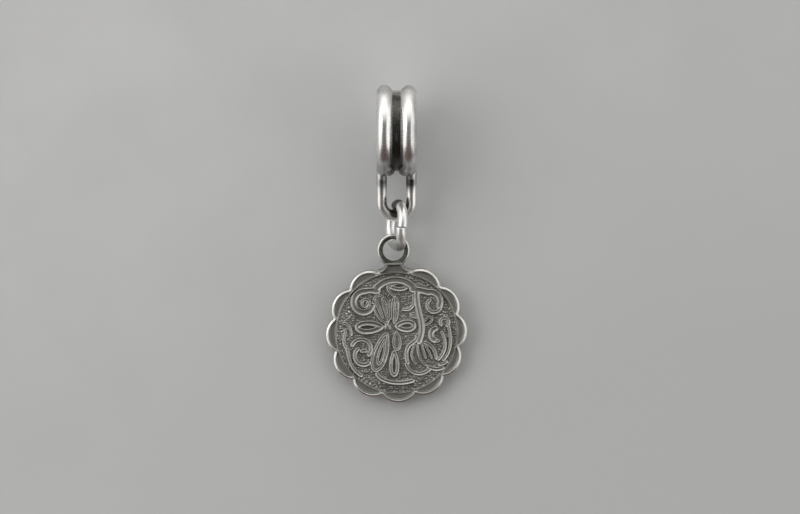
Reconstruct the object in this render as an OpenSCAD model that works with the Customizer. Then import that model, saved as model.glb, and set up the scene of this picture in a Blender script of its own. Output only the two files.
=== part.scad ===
// Dangle charm lying drawn out on a flat surface: a grooved bail bead with a cast loop, a cut jump ring
// and a scalloped medallion with scrollwork in relief.
// +X runs across the charm, +Y from the medallion to the bead, +Z up from the surface. Millimetres.

/* [Bail bead] */
// Outer diameter of the two rolled rings
bead_d = 9.0; // [8:0.1:11]
// Width of the bead along its axis
bead_w = 3.92; // [3.4:0.02:5]
// Width of the groove between the rolled rings
groove_w = 0.84; // [0.6:0.02:1.3]
// Depth of the groove below the rings
groove_depth = 0.54; // [0.3:0.02:0.7]
// How far the end faces lie inside the rolled rings
face_inset = 0.05; // [0.02:0.01:0.12]
// Bore that slides on a bracelet
bore_d = 5.0; // [4:0.1:5.6]

/* [Cast loop on the bead] */
// Thickness of the loop
loop_wire = 1.04; // [0.8:0.02:1.1]
// Outer width of the loop
loop_w = 3.98; // [3.5:0.02:4.1]
// From the bead's axis to the middle of the loop's far end
loop_reach = 8.75; // [8:0.05:10]

/* [Jump ring] */
// Outer diameter of the jump ring
ring_od = 5.1; // [4.8:0.05:6]
// Thickness of its wire
ring_wire = 1.0; // [0.8:0.02:1.1]
// Width of the cut where the wire's ends meet
cut_w = 0.05; // [0.02:0.01:0.15]
// How far the wire's ends stand beside each other
end_offset = 0.18; // [0.05:0.01:0.3]
// Turn of the ring's lower half against the other about the ring's upright, in degrees
end_twist = 7; // [0:1:12]
// Angle of the cut from the top of the ring, in degrees
cut_angle = 5; // [0:1:30]

/* [Medallion] */
// Width across the lobes
medal_w = 14.08; // [12:0.02:16]
// Height of the lobes' circle as a share of its width, as cast
medal_oval = 0.99; // [0.95:0.005:1]
// Number of lobes round the edge, the top one hidden by the neck
lobe_count = 12; // [11:1:13]
// Radius of each lobe
lobe_r = 2.09; // [1.9:0.01:2.3]
// Thickness at the rim
medal_t = 1.1; // [0.9:0.05:1.6]
// Depth of the sunk ground
relief_h = 0.25; // [0.15:0.01:0.35]
// Width of the raised rim
rim_w = 0.29; // [0.16:0.01:0.36]
// Radius of the fine raised ring inside the lobes
ridge_r = 6.03; // [5:0.01:6.8]
// Width of the fine raised ring
ridge_w = 0.18; // [0.12:0.01:0.25]

/* [Scrollwork] */
// Narrowest slit that the casting keeps open
cast_slit = 0.08; // [0.04:0.01:0.12]
// How far the scrollwork's middle stands above the medallion's middle
scroll_rise = 0.13; // [-0.2:0.01:0.2]

/* [Neck and eyelet] */
// Outer diameter of the eyelet
eye_od = 3.3; // [3.1:0.05:4]
// Thickness of the eyelet
eye_wire = 0.58; // [0.5:0.02:0.7]
// How far the eyelet's outside sinks into the end of the neck
eye_sink = 0.44; // [0.15:0.01:0.5]
// Width of the neck under the eyelet
neck_w = 1.72; // [1.5:0.02:2.2]
// Radius of the hollow flare on each side of the neck
flare_r = 0.74; // [0.5:0.02:0.8]
// How far the neck's end stands past the lobes' circle
neck_rise = 0.07; // [-0.15:0.01:0.3]

/* [How it lies] */
// Gap left between links that touch
link_gap = 0.06; // [0.03:0.01:0.1]
// Lean of the jump ring from upright, in degrees
ring_lean = 16.7; // [5:0.1:30]
// Turn of the jump ring about the vertical, in degrees
ring_yaw = -5; // [-10:0.5:10]
// Turn of the medallion about the vertical, in degrees
medal_yaw = 2.1; // [-5:0.1:5]
// How far below the ring's middle the bead's loop touches it, in degrees
loop_touch = 28; // [5:1:40]
// How far below the ring's middle the eyelet touches it, in degrees
eye_touch = 18; // [5:1:40]

/* [Hidden] */
$fn = 96;

// Bead: the rolled rings are round in section, and their middles stand at roll_x and roll_at.
roll_r = (bead_w - groove_w) / 4;
roll_x = (bead_w + groove_w) / 4;
roll_at = bead_d / 2 - roll_r;
groove_floor = bead_d / 2 - groove_depth;
loop_r = (loop_w - loop_wire) / 2;

// Jump ring: ring_r is the radius of the wire's middle line, and splay tips one half so that the ends miss.
// The halves meet at the bottom in a ball that is thicker than the wire by a hair.
ring_r = (ring_od - ring_wire) / 2;
splay = asin(end_offset / (2 * ring_r));
cut_sweep = 2 * asin(cut_w / (2 * ring_r));
half_start = -89.5;
half_swell = 0.01;

// Medallion, measured from its middle, with its back at z = 0.
lobe_at = medal_w / 2 - lobe_r;
core_r = lobe_at;
medal_foot = lobe_at * medal_oval + lobe_r;
neck_end = medal_foot + neck_rise;
eye_r = (eye_od - eye_wire) / 2;
eye_y = neck_end - eye_sink + eye_od / 2;
tool_h = 1;

// The jump ring stands on the surface. The bead's loop and the eyelet touch its inside, and their heights
// there set the slope of the loop and the tilt of the medallion, whose foot is on the surface.
ring_z = ring_r * cos(ring_lean) + ring_wire / 2 + half_swell;
loop_out = ring_r - ring_wire / 2 - loop_wire / 2 - link_gap;
eye_out = ring_r - ring_wire / 2 - eye_wire / 2 - link_gap;
function in_ring_y(out, up) = out * cos(ring_yaw) + up * sin(ring_lean) * sin(ring_yaw);
loop_tip_z = ring_z - loop_out * sin(loop_touch) * cos(ring_lean);
loop_slope = asin((bead_d / 2 - loop_tip_z) / loop_reach);
bar_z = ring_z - eye_out * sin(eye_touch) * cos(ring_lean);
bar_reach = medal_foot + eye_y + eye_r;
medal_tilt = asin(bar_z / norm([bar_reach, medal_t / 2])) - atan(medal_t / 2 / bar_reach);

// Places along the charm, first from the bead's middle, then from the middle of the whole length.
ring_back = -loop_reach * cos(loop_slope) - in_ring_y(loop_out * cos(loop_touch), -loop_out * sin(loop_touch));
bar_back = ring_back + in_ring_y(-eye_out * cos(eye_touch), -eye_out * sin(eye_touch));
medal_back = bar_back
    - ((eye_y + eye_r) * cos(medal_tilt) - medal_t / 2 * sin(medal_tilt)) * cos(medal_yaw);
foot_back = medal_back
    - (lobe_at * medal_oval * cos(medal_tilt) + medal_t * sin(medal_tilt)) * cos(medal_yaw)
    - lobe_r * norm([cos(medal_tilt) * cos(medal_yaw), sin(medal_yaw)]);
bead_y = -(bead_d / 2 + foot_back) / 2;
ring_y = bead_y + ring_back;
medal_y = bead_y + medal_back;

// Ornament, in per cent of the inner radius of the fine ring, from the medallion's middle.
// Curls turn from one angle to the other while their radius changes evenly:
// [middle x, middle y, first radius, last radius, first angle, last angle, width]
CURLS = [
    [-52, 50, 20, 14, 82, 340, 12],
    [-50, 49, 8, 3, 30, 380, 6],
    [60, 46, 19, 14, 104, -22, 12],
    [64, 42, 12, 11, 8, -235, 7],
    [-60, -27, 16, 16, -40, 155, 8],
    [-56, -40, 16, 14, 128, 305, 8],
    [68, -8, 11, 10, 105, 238, 11],
    [81, 13, 7, 7, 212, -50, 7],
    [37, -50, 23, 22, 196, 318, 7],
];
// Bends are curves from the first point to the last, drawn towards the two between:
// [x, y, x, y, x, y, x, y, width]
BENDS = [
    [-33, 70, -20, 92, 18, 93, 32, 71, 13],
    [-29, 69, -36, 71, -42, 71, -50, 70, 11],
    [29, 70, 36, 69, 44, 68, 56, 64, 12],
    [-12, 75, -10, 68, -7, 64, -1, 60, 6],
    [-3, 15, -3, 30, -1, 44, 0, 57, 5],
    [31, 60, 32, 42, 26, 34, 13, 37, 6],
    [36, 64, 34, 26, 51, 12, 37, -18, 11],
    [34, -8, 36, -24, 8, -16, 17, -53, 8],
    [47, -20, 58, -24, 64, -34, 65, -47, 7],
    [30, -24, 22, -34, 22, -46, 30, -54, 5],
    [35, -24, 33, -38, 38, -50, 47, -58, 5],
    [41, -22, 43, -30, 45, -37, 47, -46, 5],
    [47, -24, 51, -31, 54, -37, 57, -46, 5],
    [76, -4, 83, -20, 84, -34, 69, -49, 6],
    [87, 8, 92, -12, 92, -36, 77, -50, 6],
    [-88, 17, -80, 16, -76, 8, -76, -2, 6],
    [-85, 3, -88, -7, -91, -13, -86, -24, 6],
    [-84, -27, -80, -40, -82, -58, -62, -72, 7],
    [-35, -71, -27, -86, 2, -90, 24, -84, 8],
    [52, -62, 60, -66, 66, -67, 75, -64, 8],
    [70, -58, 74, -58, 78, -57, 82, -54, 6],
    [-59, -31, -57, -30, -55, -30, -53, -31, 8],
    [65, -18, 66, -18, 68, -18, 69, -18, 7],
];
// Leaves widen from their foot, and broad ones are closed loops, open in the middle:
// [foot x, foot y, direction, length, breadth, width of the loop]
LEAVES = [
    [-15, 12, 106, 54, 33, 5],
    [-21, 22, 110, 36, 8, 4],
    [-14, 20, 100, 40, 9, 4],
    [-9, 20, 90, 34, 6, 4],
    [-3, 12, 86, 48, 16, 5],
    [-16, 0, 251, 71, 31, 6],
    [-20, -12, 254, 46, 14, 5],
    [0, 1, 270, 34, 18, 5],
    [-5, -31, 268, 46, 20, 7],
    [-20, 9, 180, 50, 27, 10],
    [-3, 9, 0, 37, 25, 9],
    [-12, 77, 0, 36, 22, 8],
    [43, 8, 40, 24, 15, 5],
    [38, 22, 150, 17, 11, 5],
];
// Round boss where the leaves meet: [x, y, radius]
BOSS = [-15, 8, 6];
narrowest_eye = 2;
turn_step = 22;
bend_steps = 8;
leaf_steps = 22;
end_steps = 10;
unit = (ridge_r - ridge_w / 2) / 100;

// Points of the three kinds of stroke, along their middle lines. A leaf's outline is moved inwards by inset.
function curl_point(c, s) =
    let (r = c[2] + (c[3] - c[2]) * s, a = c[4] + (c[5] - c[4]) * s)
    [c[0] + r * cos(a), c[1] + r * sin(a)];
function curl_line(c) =
    let (n = ceil(abs(c[5] - c[4]) / turn_step))
    [for (i = [0 : n]) curl_point(c, i / n) * unit];
function bend_point(b, s) = [for (k = [0, 1])
    b[k] * pow(1 - s, 3) + 3 * b[k + 2] * s * pow(1 - s, 2) + 3 * b[k + 4] * s * s * (1 - s) + b[k + 6] * pow(s, 3)];
function bend_line(b) = [for (i = [0 : bend_steps]) bend_point(b, i / bend_steps) * unit];
function leaf_outline(length, breadth, inset) = [for (i = [0 : leaf_steps - 1])
    let (a = 360 * i / leaf_steps)
    [inset + (length - 2 * inset) * (1 - cos(a)) / 2, (breadth / 2 - inset) * sin(a) * sqrt(sin(a / 2))]];

// Directions across an open line, for the two sides of a band.
function along(line, i) = line[min(i + 1, len(line) - 1)] - line[max(i - 1, 0)];
function across(line, i) = let (d = along(line, i)) [-d[1], d[0]] / norm(d);

module band(line, width) {
    n = len(line) - 1;
    left = [for (i = [0 : n]) line[i] + across(line, i) * width / 2];
    right = [for (i = [n : -1 : 0]) line[i] - across(line, i) * width / 2];
    polygon(concat(left, right));
    for (end = [line[0], line[n]])
        translate(end)
            circle(width / 2, $fn = end_steps);
}

module leaf(row) {
    translate([row[0], row[1]] * unit)
        rotate(row[2])
            difference() {
                polygon(leaf_outline(row[3] * unit, row[4] * unit, 0));
                if (row[4] > 2 * row[5] + narrowest_eye)
                    polygon(leaf_outline(row[3] * unit, row[4] * unit, row[5] * unit));
            }
}

module strokes() {
    for (c = CURLS)
        band(curl_line(c), c[6] * unit);
    for (b = BENDS)
        band(bend_line(b), b[8] * unit);
    for (l = LEAVES)
        leaf(l);
    translate([BOSS[0], BOSS[1]] * unit)
        circle(BOSS[2] * unit, $fn = 24);
}

// Sunk ground inside the fine ring: slits narrower than cast_slit stay filled.
module ground() {
    difference() {
        circle(ridge_r - ridge_w / 2);
        offset(delta = -cast_slit / 2)
            offset(delta = cast_slit / 2)
                translate([0, scroll_rise])
                    strokes();
    }
}

// Outline of the blank with its neck, moved inwards by inset.
module outline(inset) {
    circle(core_r);
    for (i = [1 : lobe_count - 1])
        translate([lobe_at * sin(360 * i / lobe_count), lobe_at * medal_oval * cos(360 * i / lobe_count)])
            circle(lobe_r - inset);
    difference() {
        translate([-neck_w / 2 - flare_r, 0])
            square([neck_w + 2 * flare_r, neck_end - inset]);
        for (side = [-1, 1])
            translate([side * (neck_w / 2 + flare_r), neck_end])
                circle(flare_r + inset);
    }
}

module cut_down(depth) {
    translate([0, 0, medal_t - depth])
        linear_extrude(depth + tool_h)
            children();
}

module medallion_flat() {
    difference() {
        linear_extrude(medal_t)
            outline(0);
        cut_down(relief_h)
            difference() {
                outline(rim_w);
                circle(ridge_r + ridge_w / 2);
            }
        cut_down(relief_h)
            offset(delta = 0)
                ground();
    }
    translate([0, eye_y, medal_t / 2])
        rotate_extrude()
            translate([eye_r, 0])
                circle(eye_wire / 2);
}

module medallion() {
    color("dimgray")
        translate([0, medal_y, medal_foot * sin(medal_tilt)])
            rotate([0, 0, medal_yaw])
                rotate([medal_tilt, 0, 0])
                    medallion_flat();
}

// Part of the jump ring's wire, in the XY plane, between two angles.
module wire_arc(from, to) {
    rotate([0, 0, from])
        rotate_extrude(angle = to - from)
            translate([ring_r, 0])
                circle(ring_wire / 2);
}

module jump_ring() {
    color("silver")
        translate([0, ring_y, ring_z])
            rotate([0, 0, ring_yaw])
                rotate([0, ring_lean, 0])
                    rotate([90, 0, 90]) {
                        wire_arc(half_start, 90 + cut_angle - cut_sweep / 2);
                        translate([0, -ring_r, 0])
                            rotate([-splay, end_twist, 0])
                                translate([0, ring_r, 0])
                                    wire_arc(90 + cut_angle + cut_sweep / 2, -half_start + 180);
                        translate([0, -ring_r, 0])
                            sphere(ring_wire / 2 + half_swell);
                    }
}

module rolled_rings() {
    for (side = [-1, 1])
        translate([roll_at, side * roll_x])
            circle(roll_r);
    for (side = [-1, 1])
        translate([0, side * roll_x - roll_r + face_inset])
            square([roll_at, 2 * (roll_r - face_inset)]);
    translate([0, -roll_x])
        square([groove_floor, 2 * roll_x]);
}

module cast_loop() {
    translate([0, -loop_reach + loop_r, 0])
        rotate([0, 0, 180])
            rotate_extrude(angle = 180)
                translate([loop_r, 0])
                    circle(loop_wire / 2);
    for (side = [-1, 1])
        translate([side * loop_r, -roll_at, 0])
            rotate([90, 0, 0])
                cylinder(h = loop_reach - loop_r - roll_at, d = loop_wire);
}

module bail_bead() {
    color("gainsboro")
        translate([0, bead_y, bead_d / 2]) {
            difference() {
                rotate([0, 90, 0])
                    rotate_extrude()
                        rolled_rings();
                rotate([0, 90, 0])
                    cylinder(h = bead_w + 2 * tool_h, d = bore_d, center = true);
            }
            rotate([loop_slope, 0, 0])
                cast_loop();
        }
}

bail_bead();
jump_ring();
medallion();
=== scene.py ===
"""Dangle charm lying drawn out on a pale surface: grooved bail bead, jump ring and scalloped medallion."""

import math

import bpy
import numpy as np
from mathutils import Matrix, Vector


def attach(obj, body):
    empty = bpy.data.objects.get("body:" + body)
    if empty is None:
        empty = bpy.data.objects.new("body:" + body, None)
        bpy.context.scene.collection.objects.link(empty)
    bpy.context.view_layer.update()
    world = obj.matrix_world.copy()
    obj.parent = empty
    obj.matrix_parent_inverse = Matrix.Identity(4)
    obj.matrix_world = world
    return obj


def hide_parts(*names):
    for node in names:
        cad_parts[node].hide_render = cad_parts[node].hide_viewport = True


MM = 0.001


def sin_d(angle):
    return math.sin(math.radians(angle))


def cos_d(angle):
    return math.cos(math.radians(angle))


# Sizes of the charm in millimetres and degrees, as in the part's source.
BEAD_D = 9.0
BEAD_W = 3.92
GROOVE_W = 0.84
GROOVE_DEPTH = 0.54
FACE_INSET = 0.05
BORE_D = 5.0
LOOP_WIRE = 1.04
LOOP_W = 3.98
LOOP_REACH = 8.75
RING_OD = 5.1
RING_WIRE = 1.0
END_OFFSET = 0.18
CUT_ANGLE = 5
MEDAL_W = 14.08
MEDAL_OVAL = 0.99
LOBE_COUNT = 12
LOBE_R = 2.09
MEDAL_T = 1.1
RELIEF_H = 0.25
RIM_W = 0.29
RIDGE_R = 6.03
RIDGE_W = 0.18
SCROLL_RISE = 0.13
EYE_OD = 3.3
EYE_WIRE = 0.58
EYE_SINK = 0.44
NECK_W = 1.72
FLARE_R = 0.74
NECK_RISE = 0.07
LINK_GAP = 0.06
RING_LEAN = 16.7
RING_YAW = -5
MEDAL_YAW = 2.1
LOOP_TOUCH = 28
EYE_TOUCH = 18

# Sizes that follow from them.
ROLL_R = (BEAD_W - GROOVE_W) / 4
ROLL_X = (BEAD_W + GROOVE_W) / 4
ROLL_AT = BEAD_D / 2 - ROLL_R
GROOVE_FLOOR = BEAD_D / 2 - GROOVE_DEPTH
LOOP_R = (LOOP_W - LOOP_WIRE) / 2
RING_R = (RING_OD - RING_WIRE) / 2
HALF_SWELL = 0.01
LOBE_AT = MEDAL_W / 2 - LOBE_R
MEDAL_FOOT = LOBE_AT * MEDAL_OVAL + LOBE_R
NECK_END = MEDAL_FOOT + NECK_RISE
EYE_R = (EYE_OD - EYE_WIRE) / 2
EYE_Y = NECK_END - EYE_SINK + EYE_OD / 2
GROUND_Z = MEDAL_T - RELIEF_H

# Places of the pieces along the charm.
RING_Z = RING_R * cos_d(RING_LEAN) + RING_WIRE / 2 + HALF_SWELL
LOOP_OUT = RING_R - RING_WIRE / 2 - LOOP_WIRE / 2 - LINK_GAP
EYE_OUT = RING_R - RING_WIRE / 2 - EYE_WIRE / 2 - LINK_GAP


def in_ring_y(out, up):
    return out * cos_d(RING_YAW) + up * sin_d(RING_LEAN) * sin_d(RING_YAW)


LOOP_TIP_Z = RING_Z - LOOP_OUT * sin_d(LOOP_TOUCH) * cos_d(RING_LEAN)
LOOP_SLOPE = math.asin((BEAD_D / 2 - LOOP_TIP_Z) / LOOP_REACH)
BAR_Z = RING_Z - EYE_OUT * sin_d(EYE_TOUCH) * cos_d(RING_LEAN)
BAR_REACH = MEDAL_FOOT + EYE_Y + EYE_R
MEDAL_TILT = math.asin(BAR_Z / math.hypot(BAR_REACH, MEDAL_T / 2)) - math.atan(MEDAL_T / 2 / BAR_REACH)
LOOP_TOUCH_Y = in_ring_y(LOOP_OUT * cos_d(LOOP_TOUCH), -LOOP_OUT * sin_d(LOOP_TOUCH))
RING_BACK = -LOOP_REACH * math.cos(LOOP_SLOPE) - LOOP_TOUCH_Y
BAR_BACK = RING_BACK + in_ring_y(-EYE_OUT * cos_d(EYE_TOUCH), -EYE_OUT * sin_d(EYE_TOUCH))
BAR_AT = (EYE_Y + EYE_R) * math.cos(MEDAL_TILT) - MEDAL_T / 2 * math.sin(MEDAL_TILT)
MEDAL_BACK = BAR_BACK - BAR_AT * cos_d(MEDAL_YAW)
LOW_LOBE_AT = LOBE_AT * MEDAL_OVAL * math.cos(MEDAL_TILT) + MEDAL_T * math.sin(MEDAL_TILT)
LOW_LOBE_R = LOBE_R * math.hypot(math.cos(MEDAL_TILT) * cos_d(MEDAL_YAW), sin_d(MEDAL_YAW))
FOOT_BACK = MEDAL_BACK - LOW_LOBE_AT * cos_d(MEDAL_YAW) - LOW_LOBE_R
BEAD_Y = -(BEAD_D / 2 + FOOT_BACK) / 2
RING_Y = BEAD_Y + RING_BACK
MEDAL_Y = BEAD_Y + MEDAL_BACK

# Ornament, in per cent of the inner radius of the fine ring, from the medallion's middle.
# Curls: middle x, middle y, first radius, last radius, first angle, last angle, width
CURLS = [
    (-52, 50, 20, 14, 82, 340, 12),
    (-50, 49, 8, 3, 30, 380, 6),
    (60, 46, 19, 14, 104, -22, 12),
    (64, 42, 12, 11, 8, -235, 7),
    (-60, -27, 16, 16, -40, 155, 8),
    (-56, -40, 16, 14, 128, 305, 8),
    (68, -8, 11, 10, 105, 238, 11),
    (81, 13, 7, 7, 212, -50, 7),
    (37, -50, 23, 22, 196, 318, 7),
]
# Bends: four points of a curve, width
BENDS = [
    (-33, 70, -20, 92, 18, 93, 32, 71, 13),
    (-29, 69, -36, 71, -42, 71, -50, 70, 11),
    (29, 70, 36, 69, 44, 68, 56, 64, 12),
    (-12, 75, -10, 68, -7, 64, -1, 60, 6),
    (-3, 15, -3, 30, -1, 44, 0, 57, 5),
    (31, 60, 32, 42, 26, 34, 13, 37, 6),
    (36, 64, 34, 26, 51, 12, 37, -18, 11),
    (34, -8, 36, -24, 8, -16, 17, -53, 8),
    (47, -20, 58, -24, 64, -34, 65, -47, 7),
    (30, -24, 22, -34, 22, -46, 30, -54, 5),
    (35, -24, 33, -38, 38, -50, 47, -58, 5),
    (41, -22, 43, -30, 45, -37, 47, -46, 5),
    (47, -24, 51, -31, 54, -37, 57, -46, 5),
    (76, -4, 83, -20, 84, -34, 69, -49, 6),
    (87, 8, 92, -12, 92, -36, 77, -50, 6),
    (-88, 17, -80, 16, -76, 8, -76, -2, 6),
    (-85, 3, -88, -7, -91, -13, -86, -24, 6),
    (-84, -27, -80, -40, -82, -58, -62, -72, 7),
    (-35, -71, -27, -86, 2, -90, 24, -84, 8),
    (52, -62, 60, -66, 66, -67, 75, -64, 8),
    (70, -58, 74, -58, 78, -57, 82, -54, 6),
    (-59, -31, -57, -30, -55, -30, -53, -31, 8),
    (65, -18, 66, -18, 68, -18, 69, -18, 7),
]
# Leaves: foot x, foot y, direction, length, breadth, width, and whether the blade is raised
LEAVES = [
    (-15, 12, 106, 54, 33, 5, 1),
    (-21, 22, 110, 36, 8, 4, 0),
    (-14, 20, 100, 40, 9, 4, 1),
    (-9, 20, 90, 34, 6, 4, 1),
    (-3, 12, 86, 48, 16, 5, 1),
    (-16, 0, 251, 71, 31, 6, 1),
    (-20, -12, 254, 46, 14, 5, 0),
    (0, 1, 270, 34, 18, 5, 1),
    (-5, -31, 268, 46, 20, 7, 0),
    (-20, 9, 180, 50, 27, 10, 0),
    (-3, 9, 0, 37, 25, 9, 0),
    (-12, 77, 0, 36, 22, 8, 0),
    (43, 8, 40, 24, 15, 5, 0),
    (38, 22, 150, 17, 11, 5, 0),
]
BOSS = (-15, 8, 6)
UNIT = (RIDGE_R - RIDGE_W / 2) / 100

# Finish of the bead and the ring.
FACE_EDGE = 0.12
FLOOR_CROWN = 0.01
BEAD_AROUND = 256
LOOP_SIDES = 40
CUT_HALF = 0.8
WIRE_END_ROUND = 0.05
DRAWN_OUT = 0.05
DRAWN_AT = 195
WIRE_SIDES = 36
# Twist of the ring's wire: angle round the ring, how far aside
TWIST = [(95, -END_OFFSET), (107, -0.08), (120, 0.02), (145, 0.28), (168, 0.43),
         (190, 0.34), (215, 0.14), (240, 0.02), (270, 0), (455, 0)]

# Relief of the medallion.
RIM_ROUND = 0.13
RIM_FALL = 0.12
EDGE_LINE = 0.17
BODY_H = 0.15
TROUGH_H = 0.10
INNER_LIP = 0.5
BLADE_H = 0.1
SHADE_GAP = 0.06
GRAIN_CELL = 0.25
GRAIN_R = 0.105
GRAIN_H = 0.07
GRAIN_CELLS = 96
GRAIN_SEED = 5
PATCH_SEED = 9
FINE_RING_H = 0.92 * RELIEF_H
BACK_ROUND = 0.1

# Shine of the medallion, from black at nought to bright silver at one.
STROKE_GROUND_SHINE = 0.1
OPENING_SHINE = 0.08
BLADE_SHINE = 0.29
BODY_SHINE = 0.32
LIP_SHINE = 0.35
BOSS_SHINE = 0.5
FINE_RING_SHINE = 0.24
RECESS_SHINE = 0.33
RIM_SHINE = 0.56
EDGE_SHINE = 0.8
SIDE_SHADE = 0.18
BACK_EDGE_SHINE = 0.6
BACK_SHINE = 0.42
# Angles of the rim's painted highlight and of its painted shade over the foot.
RIM_LIGHT_AT = math.radians(225)
FOOT_AT = math.radians(280)

# Grid of the medallion's face.
DISC_POINTS = 768
RING_STEP = 0.05
DOUBLE_AT = (0.8, 1.6, 3.1)
MORPH_R = 6.2
RIM_BANDS = 19
RIM_FROM = 5.7
OUT_OF_REACH = 9.0
WEDGE = 5


def smooth(a, b, x):
    t = np.clip((x - a) / (b - a), 0.0, 1.0)
    return t * t * (3 - 2 * t)


def make_object(name, points, faces, material, node, attributes):
    mesh = bpy.data.meshes.new(name)
    mesh.from_pydata((np.asarray(points, float) * MM).tolist(), [], faces)
    mesh.update()
    for key, values in attributes.items():
        layer = mesh.attributes.new(key, "FLOAT", "POINT")
        layer.data.foreach_set("value", np.asarray(values, np.float32))
    mesh.shade_smooth()
    mesh.materials.append(material)
    obj = bpy.data.objects.new(name, mesh)
    bpy.context.scene.collection.objects.link(obj)
    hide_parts(node)
    return obj


def grid_faces(rows, cols, close_rows, start=0):
    """Faces of a grid of points whose columns run round, and whose rows do so if close_rows is set."""
    faces = []
    for i in range(rows if close_rows else rows - 1):
        a = start + i * cols
        b = start + (i + 1) % rows * cols
        for j in range(cols):
            k = (j + 1) % cols
            faces.append((a + j, b + j, b + k, a + k))
    return faces


def tube(path, radius, side, sides, cap_round):
    """Round wire along a path, with rounded ends; side is a vector that is never along the path."""
    path = np.asarray(path, float)
    along = np.gradient(path, axis=0)
    along /= np.linalg.norm(along, axis=1, keepdims=True)
    u = np.cross(along, side)
    u /= np.linalg.norm(u, axis=1, keepdims=True)
    v = np.cross(along, u)
    turn = np.linspace(0, 2 * math.pi, sides, endpoint=False)
    centres, radii, us, vs = [], [], [], []

    def put(centre, r, i):
        centres.append(centre)
        radii.append(r)
        us.append(u[i])
        vs.append(v[i])

    steps = []
    if cap_round > 0:
        steps = [(cap_round * (1 - sin_d(a)), cap_round * (1 - cos_d(a))) for a in (90, 60, 30)]
    for ahead, inset in steps:
        put(path[0] + along[0] * ahead, radius - inset, 0)
    skip = 1 if steps else 0
    for i in range(skip, len(path) - skip):
        put(path[i], radius, i)
    for ahead, inset in steps[::-1]:
        put(path[-1] - along[-1] * ahead, radius - inset, -1)
    centres, radii = np.array(centres), np.array(radii)
    us, vs = np.array(us), np.array(vs)
    spokes = us[:, None] * np.cos(turn)[None, :, None] + vs[:, None] * np.sin(turn)[None, :, None]
    pts = centres[:, None] + radii[:, None, None] * spokes
    rows = len(centres)
    faces = grid_faces(rows, sides, False)
    points = pts.reshape(-1, 3).tolist()
    points.append(centres[0].tolist())
    points.append(centres[-1].tolist())
    first, last = len(points) - 2, len(points) - 1
    for j in range(sides):
        k = (j + 1) % sides
        faces.append((first, j, k))
        faces.append((last, (rows - 1) * sides + k, (rows - 1) * sides + j))
    return np.array(points), faces


# Materials


def principled(name):
    mat = bpy.data.materials.new(name)
    mat.use_nodes = True
    nodes, links = mat.node_tree.nodes, mat.node_tree.links
    shader = next(n for n in nodes if n.type == "BSDF_PRINCIPLED")
    return mat, nodes, links, shader


def noise(nodes, links, scale, detail=4, roughness=0.55):
    coords = nodes.new("ShaderNodeTexCoord")
    tex = nodes.new("ShaderNodeTexNoise")
    tex.inputs["Scale"].default_value = scale
    tex.inputs["Detail"].default_value = detail
    tex.inputs["Roughness"].default_value = roughness
    links.new(coords.outputs["Object"], tex.inputs["Vector"])
    return tex


def ramp(nodes, links, source, stops, mode="EASE"):
    node = nodes.new("ShaderNodeValToRGB")
    node.color_ramp.interpolation = mode
    elements = node.color_ramp.elements
    while len(elements) < len(stops):
        elements.new(0.5)
    for element, (at, colour) in zip(elements, stops):
        element.position = at
        element.color = (*colour, 1)
    links.new(source, node.inputs["Fac"])
    return node


def map_range(nodes, links, source, low, high, to_low, to_high):
    node = nodes.new("ShaderNodeMapRange")
    node.inputs["From Min"].default_value = low
    node.inputs["From Max"].default_value = high
    node.inputs["To Min"].default_value = to_low
    node.inputs["To Max"].default_value = to_high
    links.new(source, node.inputs["Value"])
    return node.outputs["Result"]


def mix_colour(nodes, links, fac, a, b):
    node = nodes.new("ShaderNodeMix")
    node.data_type = "RGBA"
    for socket, value in ((node.inputs[0], fac), (node.inputs[6], a), (node.inputs[7], b)):
        if isinstance(value, bpy.types.NodeSocket):
            links.new(value, socket)
        elif isinstance(value, (tuple, list)):
            socket.default_value = (*value, 1)
        else:
            socket.default_value = value
    return node.outputs[2]


def attribute(nodes, name):
    node = nodes.new("ShaderNodeAttribute")
    node.attribute_name = name
    return node.outputs["Fac"]


def math_node(nodes, links, op, a, b, clamp=False):
    node = nodes.new("ShaderNodeMath")
    node.operation = op
    node.use_clamp = clamp
    for socket, value in zip(node.inputs, (a, b)):
        if isinstance(value, bpy.types.NodeSocket):
            links.new(value, socket)
        else:
            socket.default_value = value
    return node.outputs[0]


def multiply_add(nodes, links, source, factor, offset):
    result = math_node(nodes, links, "MULTIPLY_ADD", source, factor)
    result.node.inputs[2].default_value = offset
    return result


def bump(nodes, links, shader, height, distance, strength):
    node = nodes.new("ShaderNodeBump")
    node.inputs["Distance"].default_value = distance
    node.inputs["Strength"].default_value = strength
    links.new(height, node.inputs["Height"])
    links.new(node.outputs["Normal"], shader.inputs["Normal"])


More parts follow.
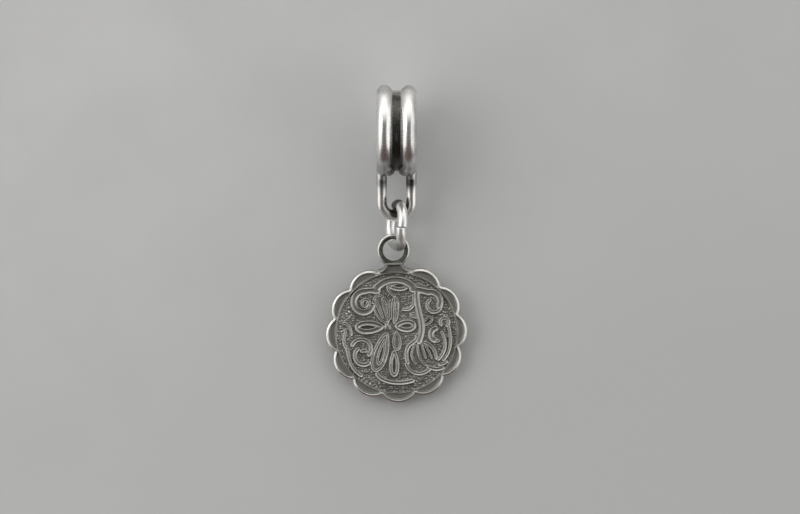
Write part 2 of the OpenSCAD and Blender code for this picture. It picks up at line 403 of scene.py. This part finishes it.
def polished_metal(name, bright, dark, rough_low, rough_high, metallic=1.0):
    """Polished silver with soft scratches; a darkening attribute blackens it: oxide in the grooves, and
    painted shade at roots, where parts meet and where surfaces turn from the light.
    """
    mat, nodes, links, shader = principled(name)
    oxide_and_shade = attribute(nodes, "oxide_and_shade")
    patches = noise(nodes, links, scale=700, detail=5)
    fine = noise(nodes, links, scale=4200, detail=3)
    spread = multiply_add(nodes, links, patches.outputs["Fac"], 0.5, -0.25)
    mask = math_node(nodes, links, "ADD", oxide_and_shade, spread)
    level = map_range(nodes, links, mask, 0.25, 0.75, 0.0, 1.0)
    less_bright = tuple(0.94 * c for c in bright)
    less_dark = tuple(2.2 * c for c in dark)
    tone = ramp(nodes, links, patches.outputs["Fac"], [(0.3, less_bright), (0.7, bright)])
    black = ramp(nodes, links, fine.outputs["Fac"], [(0.3, dark), (0.8, less_dark)])
    links.new(mix_colour(nodes, links, level, tone.outputs["Color"], black.outputs["Color"]),
              shader.inputs["Base Color"])
    shader.inputs["Metallic"].default_value = metallic
    gloss = map_range(nodes, links, fine.outputs["Fac"], 0.3, 0.7, rough_low, rough_high)
    rough = nodes.new("ShaderNodeMix")
    rough.data_type = "FLOAT"
    links.new(level, rough.inputs[0])
    links.new(gloss, rough.inputs[2])
    rough.inputs[3].default_value = 0.36
    satin = math_node(nodes, links, "MULTIPLY", attribute(nodes, "satin"), 0.26)
    rougher = math_node(nodes, links, "ADD", rough.outputs[0], satin)
    links.new(rougher, shader.inputs["Roughness"])
    bump(nodes, links, shader, patches.outputs["Fac"], distance=0.03 * MM, strength=0.25)
    return mat


def antique_metal(name):
    """Cast silver, oxidised in the recesses and rubbed bright where the shine attribute is high; that
    attribute also carries painted highlights and painted shade.
    """
    mat, nodes, links, shader = principled(name)
    shine = attribute(nodes, "shine")
    patches = noise(nodes, links, scale=420, detail=5)
    fine = noise(nodes, links, scale=6000, detail=3)
    spread = multiply_add(nodes, links, patches.outputs["Fac"], 0.36, -0.18)
    worn = math_node(nodes, links, "ADD", shine, spread)
    grit = multiply_add(nodes, links, fine.outputs["Fac"], 0.3, -0.15)
    level = math_node(nodes, links, "ADD", worn, grit, clamp=True)
    tone = ramp(nodes, links, level, [
        (0.0, (0.085, 0.084, 0.077)),
        (0.12, (0.235, 0.232, 0.213)),
        (0.25, (0.335, 0.331, 0.306)),
        (0.55, (0.5, 0.494, 0.463)),
        (0.8, (0.68, 0.67, 0.64)),
        (1.0, (0.83, 0.81, 0.77)),
    ], "LINEAR")
    links.new(tone.outputs["Color"], shader.inputs["Base Color"])
    shader.inputs["Metallic"].default_value = 1.0
    links.new(map_range(nodes, links, level, 0.0, 1.0, 0.55, 0.24), shader.inputs["Roughness"])
    bump(nodes, links, shader, fine.outputs["Fac"], distance=0.02 * MM, strength=0.5)
    return mat


# Bail bead: revolved about the X axis, with a cast loop.


def arc(cx, cy, r, a, b, steps):
    turn = np.radians(np.linspace(a, b, steps))
    return [(cx + r * math.cos(t), cy + r * math.sin(t)) for t in turn]


def bead_profile():
    """Points (x, radius) from the middle of the bore round one side to the middle of the groove."""
    edge = FACE_EDGE
    face_x = ROLL_X + ROLL_R - FACE_INSET
    bore_r = BORE_D / 2
    low = math.degrees(math.acos((ROLL_R - FACE_INSET) / ROLL_R))
    dip = math.degrees(math.asin((GROOVE_FLOOR - ROLL_AT) / ROLL_R))
    side = [(x, bore_r) for x in np.linspace(0, face_x - edge, 8)[1:-1]]
    side += arc(face_x - edge, bore_r + edge, edge, -90, 0, 6)
    side += [(face_x, r) for r in np.linspace(bore_r + edge, ROLL_AT - ROLL_R * sin_d(low), 6)[1:-1]]
    side += arc(ROLL_X, ROLL_AT, ROLL_R, -low, 180 - dip, 44)
    floor_x = side[-1][0]
    crown = [(x, GROOVE_FLOOR + FLOOR_CROWN * (1 - (x / floor_x) ** 2))
             for x in np.linspace(floor_x, 0, 12)]
    side += crown[1:-1]
    return [(0.0, bore_r)] + side + [crown[-1]] + [(-x, r) for x, r in side[::-1]]


def bead_oxide_and_shade(points):
    """Blackening of the two rolled rings, the groove between them and the bore: oxide in the groove,
    lightened by painted highlights, and painted shade on the rings.
    """
    radial = np.hypot(points[:, 1], points[:, 2])
    across = np.abs(points[:, 0])
    high = points[:, 1] / (BEAD_D / 2)
    low = -high
    # The groove is blackened from its floor up to where the rolled rings turn outwards.
    in_groove = smooth(GROOVE_W / 2 + 0.08, GROOVE_W / 2 - 0.03, across)
    # Painted highlights: the groove is lighter along its middle and towards its far end.
    in_groove *= 1 - 0.26 * smooth(0.3, 0.02, across) * smooth(0.7, 0.4, high)
    groove_far_highlight = 0.28 * smooth(0.66, 0.74, high) + 0.1 * smooth(0.74, 0.8, high)
    in_groove *= 1 - groove_far_highlight - 0.3 * smooth(0.81, 0.88, high)
    # Painted shade darkens the rings where their far ends turn down.
    far_end_shade = 0.25 * smooth(0.45, 0.5, high) + 0.07 * smooth(0.5, 0.62, high) + 0.15 * smooth(0.7, 0.88, high)
    oxide_and_shade = np.where(radial > ROLL_AT, np.maximum(in_groove, far_end_shade), 0.0)
    # The right ring is faintly darker on its outer side.
    oxide_and_shade = np.maximum(oxide_and_shade, 0.38 * smooth(ROLL_X + 0.1, ROLL_X + 0.4, points[:, 0]))
    # Painted shade darkens the bead towards the loop, most of all on the inner sides of the rings.
    foot_shade = 0.25 * smooth(0.3, 0.42, low) + 0.24 * smooth(0.4, 0.97, low)
    foot_shade += 0.22 * smooth(0.35, 0.62, low) * smooth(ROLL_X - 0.1, ROLL_X - 0.45, across)
    oxide_and_shade = np.maximum(oxide_and_shade, foot_shade)
    bore = smooth(0.25, 0.0, radial - BORE_D / 2)
    return np.maximum(oxide_and_shade, 0.75 * bore)


def close_groove(points):
    """Draw the rings together above the loop, where the casting fills the groove to a point."""
    radial = np.hypot(points[:, 1], points[:, 2])
    across = np.abs(points[:, 0])
    low = -points[:, 1] / (BEAD_D / 2)
    closing = smooth(0.76, 0.88, low) * np.clip(1 - across / ROLL_X, 0, 1) * (radial > ROLL_AT)
    points[:, 0] *= 1 - closing


def make_loop():
    """The loop cast on the bead: two legs that start inside the rings, and the bend that joins them."""
    end = LOOP_REACH - LOOP_R
    down = np.linspace(ROLL_AT, end, 34)
    bow = np.radians(np.linspace(0, 180, 48))[1:-1]
    path = [(-LOOP_R, -s, 0) for s in down]
    path += [(-LOOP_R * math.cos(t), -end - LOOP_R * math.sin(t), 0) for t in bow]
    path += [(LOOP_R, -s, 0) for s in down[::-1]]
    points, faces = tube(path, LOOP_WIRE / 2, (0, 0, 1), LOOP_SIDES, 0.0)
    root = -points[:, 1] - BEAD_D / 2
    outer = np.abs(points[:, 0]) - LOOP_R
    # Painted shade blackens the legs at their roots, most of all on the inner sides.
    darkest = np.maximum(smooth(0.2, 0.5, root), 0.8 * smooth(0.05, -0.25, outer))
    fade = (0.5 + 0.5 * darkest) * 1.12 * smooth(2.25, 0.5, root)
    fade += (0.5 * smooth(1.4, 0.8, root) - fade) * smooth(0.1, 0.42, outer)
    oxide_and_shade = 0.2 * smooth(0, 0.08, fade) + 0.5 * fade
    # Painted shade blackens the inside of the bend, a little more to the left.
    crook = np.hypot(points[:, 0] + 0.1, -points[:, 1] - LOOP_REACH + LOOP_WIRE / 2)
    oxide_and_shade = np.maximum(oxide_and_shade, smooth(0.85, 0.3, crook))
    satin = 0.8 * smooth(LOOP_REACH - 0.9, LOOP_REACH - 0.1, -points[:, 1])
    slope = Matrix.Rotation(LOOP_SLOPE, 3, "X")
    return points @ np.array(slope).T, faces, oxide_and_shade, satin


def make_bead():
    profile = np.array(bead_profile())
    turn = np.linspace(0, 2 * math.pi, BEAD_AROUND, endpoint=False)
    x = np.repeat(profile[:, 0][None, :], BEAD_AROUND, 0)
    r = np.repeat(profile[:, 1][None, :], BEAD_AROUND, 0)
    y = r * np.cos(turn)[:, None]
    z = r * np.sin(turn)[:, None]
    ring_points = np.stack([x, y, z], -1).reshape(-1, 3)
    faces = [f[::-1] for f in grid_faces(BEAD_AROUND, len(profile), True)]
    ring_oxide_and_shade = bead_oxide_and_shade(ring_points)
    ring_satin = smooth(0.42, 0.7, ring_points[:, 1] / (BEAD_D / 2))
    close_groove(ring_points)
    loop_points, loop_faces, loop_painted_shade, loop_satin = make_loop()
    start = len(ring_points)
    faces += [tuple(i + start for i in f) for f in loop_faces]
    points = np.concatenate([ring_points, loop_points]) + (0, BEAD_Y, BEAD_D / 2)
    oxide_and_shade = np.concatenate([ring_oxide_and_shade, loop_painted_shade])
    return points, faces, oxide_and_shade, np.concatenate([ring_satin, loop_satin])


# Jump ring: a cut ring of round wire, one end pushed aside.


def make_ring():
    turn = np.linspace(90 + CUT_ANGLE + 360 - CUT_HALF, 90 + CUT_ANGLE + CUT_HALF, 170)
    a = np.radians(turn)
    # The lower half is twisted: its end has slipped one way and its side the other.
    knots, offsets = np.array(TWIST).T
    aside = np.interp(turn, knots, offsets)
    soft = np.hanning(17)
    aside = np.convolve(np.pad(aside, 8, mode="edge"), soft / soft.sum(), mode="valid")
    # It is drawn out a little where it runs through the eyelet.
    drawn = RING_R + DRAWN_OUT * smooth(40, 0, np.abs(turn - DRAWN_AT))
    path = np.stack([aside, drawn * np.cos(a), drawn * np.sin(a)], 1)
    points, faces = tube(path, RING_WIRE / 2, (1, 0, 0), WIRE_SIDES, WIRE_END_ROUND)
    # Painted shade darkens the ring at its end inside the loop and at its end inside the eyelet.
    back = np.hypot(points[:, 1] - RING_R, points[:, 2] - 0.2)
    oxide_and_shade = smooth(1.15, 0.55, back)
    oxide_and_shade = np.maximum(oxide_and_shade, 0.48 * smooth(-RING_R * 0.6, -RING_R, points[:, 1]))
    place = (Matrix.Rotation(math.radians(RING_YAW), 3, "Z")
             @ Matrix.Rotation(math.radians(RING_LEAN), 3, "Y"))
    points = points @ np.array(place).T + (0, RING_Y, RING_Z)
    return points, faces, oxide_and_shade


# Medallion: a fine height field over the disc, with its neck and eyelet.


def bezier(row, steps):
    s = np.linspace(0, 1, steps)[:, None]
    p = np.array(row[:8], float).reshape(4, 2)
    return p[0] * (1 - s) ** 3 + 3 * p[1] * s * (1 - s) ** 2 + 3 * p[2] * s * s * (1 - s) + p[3] * s ** 3


def curl(row, steps):
    s = np.linspace(0, 1, steps)
    r = row[2] + (row[3] - row[2]) * s
    a = np.radians(row[4] + (row[5] - row[4]) * s)
    return np.stack([row[0] + r * np.cos(a), row[1] + r * np.sin(a)], 1)


def leaf(row, steps):
    fx, fy, way, length, breadth, width = row[:6]
    a = np.linspace(0, 2 * math.pi, steps)
    half = width / 2
    x = half + (length - width) * (1 - np.cos(a)) / 2
    y = (breadth / 2 - half) * np.sin(a) * np.sqrt(np.abs(np.sin(a / 2)))
    c, s = cos_d(way), sin_d(way)
    return np.stack([fx + x * c - y * s, fy + x * s + y * c], 1)


def distance(points, line):
    """Distance to a line of points, and on which hand of it each point lies."""
    best = np.full(len(points), 1e9)
    hand = np.ones(len(points))
    for p, q in zip(line[:-1], line[1:]):
        d = q - p
        off = points - p
        t = np.clip((off @ d) / max(d @ d, 1e-12), 0, 1)
        near = np.hypot(off[:, 0] - t * d[0], off[:, 1] - t * d[1])
        nearer = near < best
        best = np.where(nearer, near, best)
        hand = np.where(nearer, np.sign(d[0] * off[:, 1] - d[1] * off[:, 0]), hand)
    return best, hand


def turns_left(line):
    """Whether a line of points bends to the left: its outer side is then on the right."""
    x, y = line[:, 0], line[:, 1]
    return np.sum(x * np.roll(y, -1) - np.roll(x, -1) * y) > 0


def within(points, line):
    """Whether each point lies inside a closed line."""
    x, y = points[:, 0], points[:, 1]
    odd = np.zeros(len(points), bool)
    for p, q in zip(line, np.roll(line, -1, axis=0)):
        if p[1] == q[1]:
            continue
        crosses = (p[1] > y) != (q[1] > y)
        odd ^= crosses & (x < p[0] + (y - p[1]) * (q[0] - p[0]) / (q[1] - p[1]))
    return odd


def lay_layer(xy, strokes, blade, height, shine, cover):
    """Lay strokes that flow into one another: a lip along each edge and a trough between."""
    depth = np.full(len(xy), -1.0)
    outer = np.ones(len(xy))
    lip_w = np.full(len(xy), EDGE_LINE)
    half_w = np.full(len(xy), 1.0)
    for line, width in strokes:
        half = width * UNIT / 2
        reach = half + 0.2
        lo, hi = line.min(0) - reach, line.max(0) + reach
        near = np.where(((xy > lo) & (xy < hi)).all(1))[0]
        d, hand = distance(xy[near], line)
        deeper = half - d > depth[near]
        some = near[deeper]
        depth[some] = (half - d)[deeper]
        outer[some] = (-hand if turns_left(line) else hand)[deeper]
        lip_w[some] = min(EDGE_LINE, half * 0.75)
        half_w[some] = half
        if blade is not None:
            open_field = near[within(xy[near], line) & (d > half)]
            height[open_field] = BLADE_H if blade else 0
            shine[open_field] = BLADE_SHINE if blade else OPENING_SHINE
            cover[open_field] = True
    some = np.where(depth > -0.2)[0]
    deep, edge, half = depth[some], lip_w[some], half_w[some]
    rise = smooth(-0.03, 0.03, deep)
    lip = np.exp(-(((deep - edge * 0.55) / (edge * 0.5)) ** 2))
    lean = outer[some] * np.clip((half - deep) / (half * 0.3), 0, 1)
    lip *= 0.5 * (1 + INNER_LIP) + 0.5 * (1 - INNER_LIP) * lean
    trough = smooth(edge * 0.4, edge * 1.6, deep)
    form = BODY_H + (RELIEF_H - BODY_H) * lip - (BODY_H - TROUGH_H) * trough
    shadow = smooth(-SHADE_GAP, 0, deep)
    inside = deep > 0
    h, sh = height[some], shine[some]
    height[some] = np.where(inside, form * rise + h * (1 - rise), h * (1 - 0.65 * shadow))
    shine[some] = np.where(inside, BODY_SHINE + LIP_SHINE * lip * rise, sh * (1 - 0.6 * shadow))
    cover[some] |= deep > -SHADE_GAP * 0.6


def lay_strokes(xy):
    """Height over the ground and shine of the ornament at points of the disc."""
    xy = xy - (0, SCROLL_RISE)
    height = np.zeros(len(xy))
    shine = np.full(len(xy), STROKE_GROUND_SHINE)
    cover = np.zeros(len(xy), bool)
    for row in LEAVES:
        lay_layer(xy, [(leaf(row, 60) * UNIT, row[5])], row[6], height, shine, cover)
    flowing = [(curl(row, 70) * UNIT, row[6]) for row in CURLS]
    flowing += [(bezier(row, 50) * UNIT, row[8]) for row in BENDS]
    lay_layer(xy, flowing, None, height, shine, cover)
    boss_x, boss_y, boss_r = (v * UNIT for v in BOSS)
    boss = np.hypot(xy[:, 0] - boss_x, xy[:, 1] - boss_y)
    ball = boss < boss_r
    height[ball] = RELIEF_H * np.sqrt(1 - (boss[ball] / boss_r) ** 2 * 0.6)
    shine[ball] = BOSS_SHINE
    cover |= ball
    return height, shine, cover


def grains(xy, seed):
    """Beaten ground: one small grain in each cell of a jittered grid."""
    rng = np.random.default_rng(seed)
    size = GRAIN_CELLS
    shift = rng.uniform(0.15, 0.85, (size, size, 2))
    tall = rng.uniform(0.3, 1.0, (size, size))
    wide = rng.uniform(0.75, 1.15, (size, size))
    cell = np.floor(xy / GRAIN_CELL).astype(int)
    best = np.zeros(len(xy))
    glow = np.zeros(len(xy))
    for i in (-1, 0, 1):
        for j in (-1, 0, 1):
            c = cell + (i, j)
            k = (c[:, 0] + size // 2) % size, (c[:, 1] + size // 2) % size
            centre = (c + shift[k]) * GRAIN_CELL
            d = np.hypot(xy[:, 0] - centre[:, 0], xy[:, 1] - centre[:, 1]) / (GRAIN_R * wide[k])
            h = np.where(d < 1, (1 - d * d) * tall[k], 0)
            better = h > best
            best = np.where(better, h, best)
            glow = np.where(better, tall[k] * (1 - d * d), glow)
    return best, glow


def outline_radius(angles):
    """How far the blank with its neck reaches from the middle, at each angle from +X."""
    r = np.arange(4.6, 7.4, 0.0015)
    x = np.cos(angles)[:, None] * r[None, :]
    y = np.sin(angles)[:, None] * r[None, :]
    inside = np.zeros(x.shape, bool)
    for i in range(1, LOBE_COUNT):
        a = 360 * i / LOBE_COUNT
        inside |= (x - LOBE_AT * sin_d(a)) ** 2 + (y - LOBE_AT * MEDAL_OVAL * cos_d(a)) ** 2 < LOBE_R ** 2
    inside |= r[None, :] < LOBE_AT
    flare_x = NECK_W / 2 + FLARE_R
    neck = (np.abs(x) < flare_x) & (y > 0) & (y < NECK_END)
    neck &= (np.abs(x) - flare_x) ** 2 + (y - NECK_END) ** 2 > FLARE_R ** 2
    inside |= neck
    last = inside.shape[1] - 1 - np.argmax(inside[:, ::-1], axis=1)
    return r[last]


def disc_grid():
    """Radius and number of points of each ring from the middle out: three times they double."""
    rings = [(0.0, 1)]
    r = RING_STEP
    while r < MORPH_R - 1e-6:
        doublings = sum(r >= at for at in DOUBLE_AT)
        rings.append((r, DISC_POINTS // 2 ** (len(DOUBLE_AT) - doublings)))
        r += RING_STEP
    return rings


def band_faces(inner, outer):
    """Faces between one ring of points and the next, which has one, as many or twice as many."""
    m, n = len(inner), len(outer)
    inner, outer = inner.tolist(), outer.tolist()
    if m == 1:
        return [(inner[0], outer[j], outer[(j + 1) % n]) for j in range(n)]
    if m == n:
        return [(inner[j], outer[j], outer[(j + 1) % n], inner[(j + 1) % n]) for j in range(n)]
    faces = []
    for j in range(m):
        p, q = inner[j], inner[(j + 1) % m]
        o, w, e = outer[2 * j], outer[2 * j + 1], outer[(2 * j + 2) % n]
        faces += [(p, o, w), (p, w, e, q)]
    return faces


def flat_face(full, reach):
    """The medallion's face in plan: its points, its faces and the last ring of points."""
    points, faces, index = [], [], 0
    previous = None
    for r, n in disc_grid():
        a = np.linspace(0, 2 * math.pi, n, endpoint=False)
        points.append(np.stack([r * np.cos(a), r * np.sin(a)], 1))
        ids = index + np.arange(n)
        index += n
        if previous is not None:
            faces += band_faces(previous, ids)
        previous = ids
    # Between the fine ring and the edge the rings change from round to the outline.
    r_last = MORPH_R - RING_STEP
    for i in range(1, RIM_BANDS + 1):
        t = i / RIM_BANDS
        rr = r_last + (reach - RIM_ROUND - r_last) * t
        points.append(np.stack([rr * np.cos(full), rr * np.sin(full)], 1))
        ids = index + np.arange(DISC_POINTS)
        index += DISC_POINTS
        faces += band_faces(previous, ids)
        previous = ids
    return np.concatenate(points), faces, previous


def lay_ground(xy, r, turn, height, shine, cover):
    """Beat the ground between the strokes and raise the fine ring round it."""
    grain, glow = grains(xy, GRAIN_SEED)
    patch = grains(xy * 0.18 + 3, PATCH_SEED)[0]
    free = np.where(cover | (r > RIDGE_R - RIDGE_W / 2), 0.0, 1.0)
    coarse = 1 + 0.6 * smooth(4.3, 5.2, r)
    height = height + GRAIN_H * grain * free * coarse
    # Painted light near the fine ring: the ground is lit brighter at the left and shaded darker at the
    # head and foot.
    lit_by_angle = -0.08 + 0.3 * np.cos(turn - math.radians(170)) + 0.3 * np.cos(2 * turn - math.radians(350))
    lit_by_angle = 1 + lit_by_angle * smooth(4.8, 5.4, r)
    ground_shine = lit_by_angle * (0.145 + 0.87 * coarse * glow ** 1.5 * (0.35 + 0.65 * patch))
    shine = np.where(free > 0, ground_shine, shine)
    ring = smooth(RIDGE_W * 0.62, RIDGE_W * 0.2, np.abs(r - RIDGE_R))
    height = np.maximum(height * (1 - ring), FINE_RING_H * ring)
    shine = shine * (1 - ring) + FINE_RING_SHINE * lit_by_angle * ring
    return height, shine


def edge_distance(xy, r, full, reach):
    """Distance from the outline, for the points near it."""
    line = np.stack([reach * np.cos(full), reach * np.sin(full)], 1)
    outer = np.where(r > RIM_FROM)[0]
    e = np.full(len(xy), OUT_OF_REACH)
    wedge = np.floor(np.degrees(np.arctan2(xy[outer, 1], xy[outer, 0])) / WEDGE).astype(int)
    for w in np.unique(wedge):
        some = outer[wedge == w]
        first = int(round(w * WEDGE / 360 * DISC_POINTS))
        ids = np.arange(first - 14, first + 26) % DISC_POINTS
        e[some] = distance(xy[some], line[ids])[0]
    return e


def at_foot(turn):
    """One over the three lowest lobes, nought elsewhere."""
    return smooth(0.78, 0.92, np.cos(turn - FOOT_AT))


def rim_light_by_angle(turn):
    """How bright the rim is painted by angle: a painted highlight strongest towards the lower left, and
    painted shade at the foot.
    """
    aside = turn - RIM_LIGHT_AT
    return (0.96 + 0.17 * np.cos(aside) + 0.11 * np.cos(2 * aside)) * (1 - 0.4 * at_foot(turn))


def lay_rim(xy, r, turn, e, height, shine):
    """Raise the rim round the lobes and the neck, rounded off outwards, and dull the recesses."""
    rim = smooth(RIM_W + RIM_FALL, RIM_W * 0.75, e)
    beyond = r > RIDGE_R + RIDGE_W * 0.3
    recess = np.where(beyond, RELIEF_H * rim, 0)
    height = np.where(beyond, np.maximum(recess, height), height)
    at_neck = smooth(1.75, 1.45, np.abs(xy[:, 0])) * smooth(5.9, 6.2, xy[:, 1])
    neck_edge = smooth(NECK_END - 0.08, NECK_END - 0.16, xy[:, 1])
    right = np.clip(np.cos(turn), 0, 1) ** 2
    rim_shine = RECESS_SHINE + 0.1 * right + 0.1 * at_foot(turn) - 0.18 * at_neck
    # The rim carries painted light by angle: a painted highlight towards the lower left and painted shade
    # over the foot.
    rim_shine += RIM_SHINE * rim_light_by_angle(turn) * rim * (1 - at_neck * (0.5 + 0.5 * neck_edge))
    shine = np.where(beyond, np.maximum(rim_shine, shine), shine)
    past_rim = np.clip(RIM_ROUND * 2 - e, 0, RIM_ROUND)
    round_off = RIM_ROUND - np.sqrt(np.clip(RIM_ROUND ** 2 - past_rim ** 2, 0, None))
    crown = 0.5 * np.clip(round_off, 0, RIM_ROUND)
    return height - np.where(beyond, crown, 0), shine


def side_rows(full, reach, z_edge):
    """Radius, height and shine of the rings of points down the side and in over the back."""
    neck_side = smooth(1.75, 1.45, np.abs(reach * np.cos(full))) * (reach * np.sin(full) > 0)
    # The rounded edge carries the same painted light by angle as the rim.
    edge_shine = EDGE_SHINE * rim_light_by_angle(full) - 0.5 * neck_side
    rows = []
    for k in (25, 50, 75, 90):
        rows.append((reach - RIM_ROUND * (1 - sin_d(k)), z_edge - RIM_ROUND * (1 - cos_d(k)), edge_shine))
    for z in (0.75, 0.55, 0.35, BACK_ROUND):
        rows.append((reach, z, edge_shine - SIDE_SHADE))
    for k in (30, 60, 90):
        rows.append((reach - BACK_ROUND * (1 - cos_d(k)), BACK_ROUND * (1 - sin_d(k)), BACK_EDGE_SHINE))
    for inward in (0.93, 0.8, 0.6, 0.35, 0.12):
        rows.append((reach * inward, 0, BACK_SHINE))
    return rows


def make_eyelet(start):
    """The eyelet, a plain torus whose outer side is bright, with painted shade on its inner side and at
    its root.
    """
    around, sides = 120, 32
    a = np.linspace(0, 2 * math.pi, around, endpoint=False)[:, None]
    b = np.linspace(0, 2 * math.pi, sides, endpoint=False)[None, :]
    rad = EYE_R + EYE_WIRE / 2 * np.cos(b)
    eye = np.stack([rad * np.cos(a), EYE_Y + rad * np.sin(a),
                    MEDAL_T / 2 + EYE_WIRE / 2 * np.sin(b) + 0 * a], -1).reshape(-1, 3)
    outer_side = (np.cos(b) + 0 * a).reshape(-1)
    # Painted shade: the inner side and the root are darkened.
    root_shade = 1 - 0.7 * smooth(EYE_Y - 0.8, EYE_Y - 1.4, eye[:, 1])
    shine = 0.04 + 0.86 * smooth(0.1, 0.7, outer_side) * root_shade
    return eye, grid_faces(around, sides, True, start), shine


def make_medallion():
    full = np.linspace(0, 2 * math.pi, DISC_POINTS, endpoint=False)
    reach = outline_radius(full)
    xy, faces, previous = flat_face(full, reach)
    r = np.hypot(xy[:, 0], xy[:, 1])
    turn = np.arctan2(xy[:, 1], xy[:, 0])
    height, shine, cover = lay_strokes(xy)
    height, shine = lay_ground(xy, r, turn, height, shine, cover)
    height, shine = lay_rim(xy, r, turn, edge_distance(xy, r, full, reach), height, shine)
    top = np.column_stack([xy, GROUND_Z + height])

    all_points, all_shine = [top], [shine]
    index = len(top)
    for rr, z, value in side_rows(full, reach, top[previous, 2]):
        height = np.broadcast_to(z, DISC_POINTS)
        all_points.append(np.column_stack([rr * np.cos(full), rr * np.sin(full), height]))
        all_shine.append(np.broadcast_to(value, DISC_POINTS))
        ids = index + np.arange(DISC_POINTS)
        index += DISC_POINTS
        faces += band_faces(previous, ids)
        previous = ids
    all_points.append(np.zeros((1, 3)))
    all_shine.append(np.array([BACK_SHINE]))
    faces += [(b, a, c) for a, b, c in band_faces(np.array([index]), previous)]

    eye, eye_faces, eye_shine = make_eyelet(index + 1)
    all_points.append(eye)
    all_shine.append(eye_shine)
    faces += eye_faces
    points = np.concatenate(all_points)
    tilt = Matrix.Rotation(math.radians(MEDAL_YAW), 3, "Z") @ Matrix.Rotation(MEDAL_TILT, 3, "X")
    points = points @ np.array(tilt).T + (0, MEDAL_Y, MEDAL_FOOT * math.sin(MEDAL_TILT))
    return points, faces, np.concatenate(all_shine)


# Scene

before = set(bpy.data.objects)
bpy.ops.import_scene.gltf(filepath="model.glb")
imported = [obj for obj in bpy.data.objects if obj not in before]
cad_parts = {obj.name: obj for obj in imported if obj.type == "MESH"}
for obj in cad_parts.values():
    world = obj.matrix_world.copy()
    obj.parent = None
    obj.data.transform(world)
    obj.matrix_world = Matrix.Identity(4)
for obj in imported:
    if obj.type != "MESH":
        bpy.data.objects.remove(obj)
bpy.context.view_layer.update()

silver = polished_metal("polished_silver_finish", (0.93, 0.925, 0.91), (0.05, 0.049, 0.046), 0.22, 0.29)
wire = polished_metal("bright_wire_finish", (0.95, 0.945, 0.93), (0.05, 0.048, 0.043), 0.27, 0.33, 0.82)
antique = antique_metal("antiqued_silver_finish")

points, faces, oxide_and_shade, satin = make_bead()
bead = make_object("bail_bead_cast", points, faces, silver, "bail_bead",
                   {"oxide_and_shade": oxide_and_shade, "satin": satin})
points, faces, oxide_and_shade = make_ring()
ring = make_object("jump_ring_wire", points, faces, wire, "jump_ring", {"oxide_and_shade": oxide_and_shade})
points, faces, shine = make_medallion()
medal = make_object("medallion_cast", points, faces, antique, "medallion",
                    {"shine": shine})
for piece in (bead, ring, medal):
    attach(piece, "root")

# Floor
floor_mesh = bpy.data.meshes.new("floor")
half = 0.6
corners = [(-half, -half, 0), (half, -half, 0), (half, half, 0), (-half, half, 0)]
floor_mesh.from_pydata(corners, [], [(0, 1, 2, 3)])
floor = bpy.data.objects.new("floor", floor_mesh)
bpy.context.scene.collection.objects.link(floor)
floor_mat, nodes, links, shader = principled("pale_floor")
cloudy = noise(nodes, links, scale=90)
cloud_tones = [(0.3, (0.615, 0.617, 0.621)), (0.7, (0.655, 0.657, 0.66))]
shade = ramp(nodes, links, cloudy.outputs["Fac"], cloud_tones)
# Painted shade: the floor darkens towards the right and towards the charm's foot.
floor_at = nodes.new("ShaderNodeSeparateXYZ")
links.new(cloudy.inputs["Vector"].links[0].from_socket, floor_at.inputs["Vector"])
to_right = map_range(nodes, links, floor_at.outputs["X"], -0.03, 0.03, 0.0, 0.5)
to_foot = map_range(nodes, links, floor_at.outputs["Y"], 0.02, -0.02, 0.0, 0.7)
floor_painted_shade = math_node(nodes, links, "ADD", to_right, to_foot)
toned = mix_colour(nodes, links, floor_painted_shade, shade.outputs["Color"], (0.55, 0.557, 0.56))
links.new(toned, shader.inputs["Base Color"])
shader.inputs["Roughness"].default_value = 0.8
shader.inputs["Specular IOR Level"].default_value = 0.2
floor_mesh.materials.append(floor_mat)

# Light: a soft bright room with a dark overhead band, warm and dim towards the charm's foot.
world = bpy.data.worlds.new("studio")
bpy.context.scene.world = world
world.use_nodes = True
nodes, links = world.node_tree.nodes, world.node_tree.links
background = next(n for n in nodes if n.type == "BACKGROUND")
coords = nodes.new("ShaderNodeTexCoord")
split = nodes.new("ShaderNodeSeparateXYZ")
links.new(coords.outputs["Generated"], split.inputs["Vector"])
across = math_node(nodes, links, "ABSOLUTE", split.outputs["X"], 0.0)
side_glow = map_range(nodes, links, across, 0.42, 0.68, 0.0, 1.0)
head_glow = map_range(nodes, links, split.outputs["Y"], 0.3, 0.66, 0.0, 1.0)
glow = math_node(nodes, links, "MAXIMUM", side_glow, head_glow)
open_side = map_range(nodes, links, split.outputs["Y"], -0.68, -0.52, 0.0, 1.0)
lit = math_node(nodes, links, "MULTIPLY", glow, open_side)
foot_shade = map_range(nodes, links, split.outputs["Y"], -0.3, -0.8, 0.0, 1.0)
band = mix_colour(nodes, links, foot_shade, (0.15, 0.15, 0.146), (0.1, 0.07, 0.064))
sky = mix_colour(nodes, links, lit, band, (1.05, 1.045, 1.02))
window = map_range(nodes, links, split.outputs["Y"], 0.8, 0.95, 0.0, 1.0)
sky = mix_colour(nodes, links, window, sky, (2.4, 2.39, 2.35))
links.new(sky, background.inputs["Color"])
background.inputs["Strength"].default_value = 1.06

key = bpy.data.lights.new("key", "AREA")
key.shape = "RECTANGLE"
key.size = 0.25
key.size_y = 0.25
key.energy = 0.25
key_obj = bpy.data.objects.new("key", key)
bpy.context.scene.collection.objects.link(key_obj)
key_obj.location = (-0.28, 0.1, 0.26)
key_obj.rotation_euler = (Vector((0, 0, 0)) - key_obj.location).to_track_quat("-Z", "Y").to_euler()

# Camera straight above
cam = bpy.data.cameras.new("camera")
cam.lens = 135
cam.sensor_width = 36
cam.clip_start = 0.01
cam.clip_end = 10
cam_obj = bpy.data.objects.new("camera", cam)
bpy.context.scene.collection.objects.link(cam_obj)
cam_obj.location = (0.000345, -0.0012, 0.3)
bpy.context.scene.camera = cam_obj
bpy.context.scene.view_settings.view_transform = "Standard"
